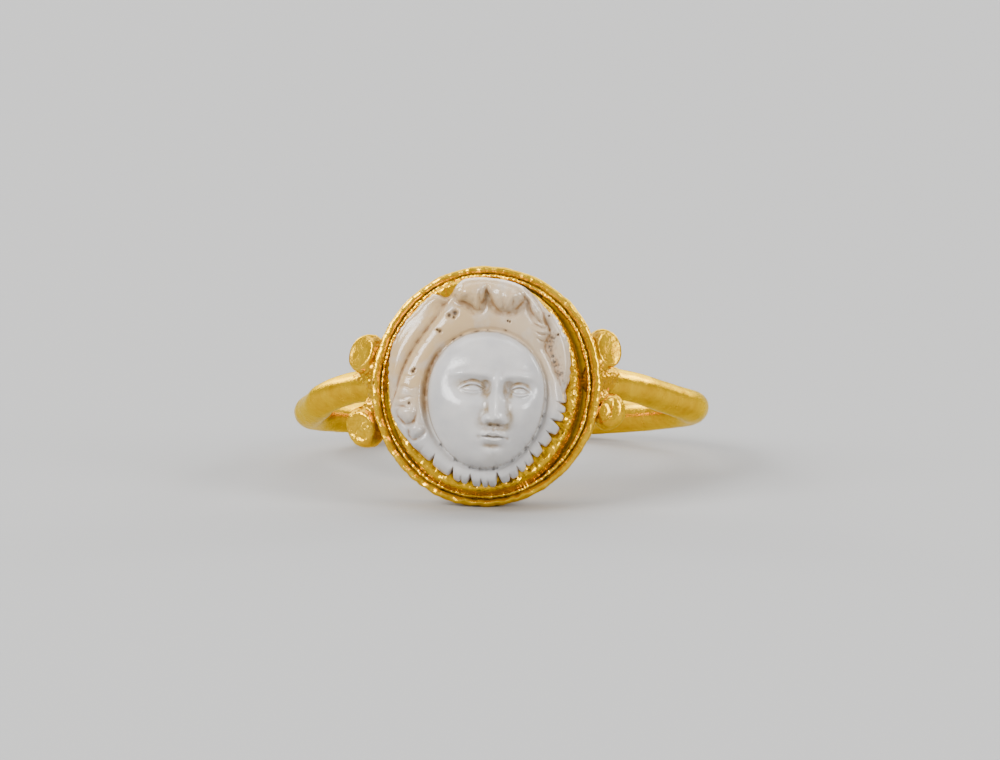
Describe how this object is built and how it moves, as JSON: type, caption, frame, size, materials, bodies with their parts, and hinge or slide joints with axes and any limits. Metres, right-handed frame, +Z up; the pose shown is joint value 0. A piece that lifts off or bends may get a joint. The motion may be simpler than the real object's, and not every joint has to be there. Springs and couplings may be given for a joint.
{
  "type": "cameo ring",
  "caption": "Finger ring with a round wire hoop, an oval collet bezel with pellets beside its shoulders, and a carved cameo of a veiled head in high relief.",
  "frame": {"origin": "middle of the object's box, on the surface that the ring lies on", "axes": "+Z up from the surface; the cameo faces -Y; the hoop runs back to +Y; +X to the right of someone who faces the cameo"},
  "size_m": [0.0194, 0.0252, 0.0106],
  "materials": {
    "gold": "worn hammered high-carat gold, bright on the ridges and dark orange in the grooves",
    "cameo_stone": "polished white chalcedony, cream in the hair, with brown stains in the cuts"
  },
  "bodies": {
    "root": {"gold_mount": "gold", "cameo": "cameo_stone"}
  },
  "joints": []
}
